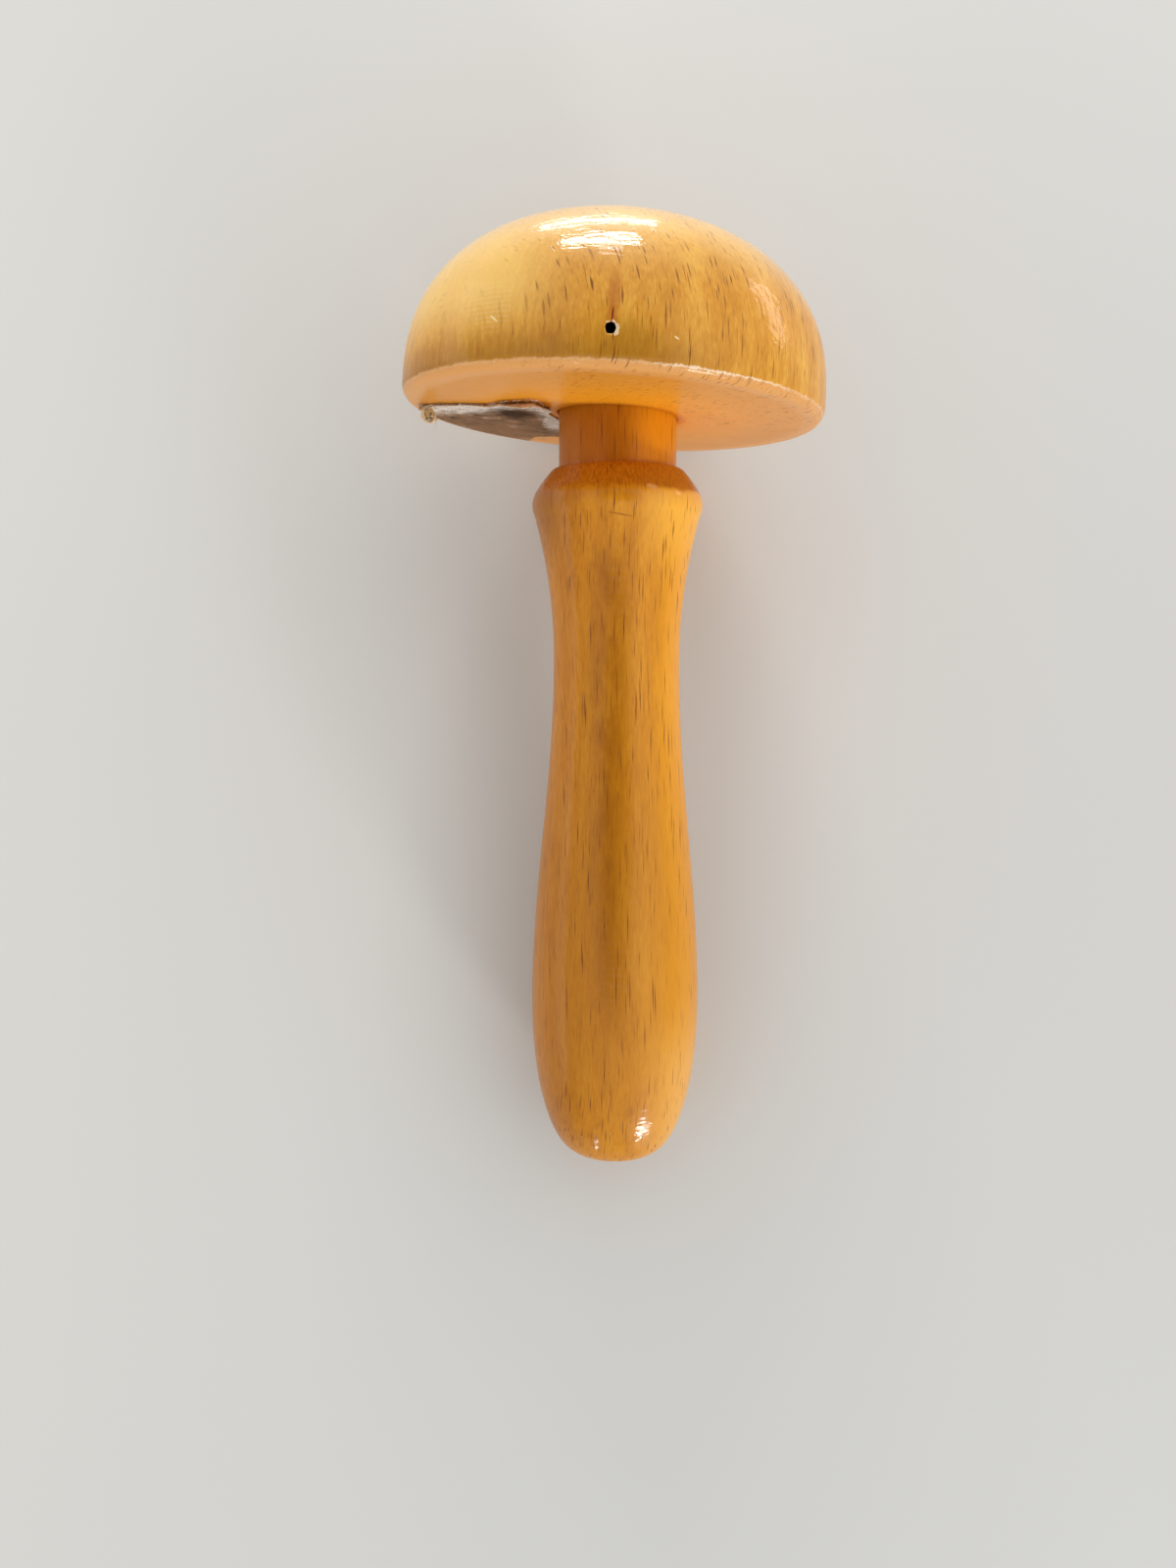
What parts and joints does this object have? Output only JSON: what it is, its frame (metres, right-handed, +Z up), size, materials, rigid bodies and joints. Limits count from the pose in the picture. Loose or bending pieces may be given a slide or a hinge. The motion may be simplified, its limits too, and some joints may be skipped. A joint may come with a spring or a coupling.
{
  "type": "darning mushroom",
  "caption": "Turned wooden darning mushroom: a domed head that pushes onto the tenon of a waisted handle, lying on its side.",
  "frame": {"origin": "middle of the lying object's bounding box, on the table that it lies on", "axes": "+Z up from the table, +Y from the handle's end to the head, +X to the right seen from above with the head away from the viewer"},
  "size_m": [0.0768, 0.1728, 0.0764],
  "materials": {
    "handle_beech": "turned beech under clear gloss lacquer that has aged to honey",
    "head_beech": "turned beech under clear gloss lacquer that has aged to honey",
    "label_paper": "matt, soiled and fibrous remains of a torn paper label, bare of print"
  },
  "bodies": {
    "handle": {"handle": "handle_beech"},
    "head": {"head": "head_beech", "torn_label": "label_paper"}
  },
  "joints": [
    {"name": "head_pull_off", "type": "slide", "parent": "handle", "child": "head", "axis": [0, 0.9835, 0.1808], "range_m": [0, 0.022]}
  ]
}
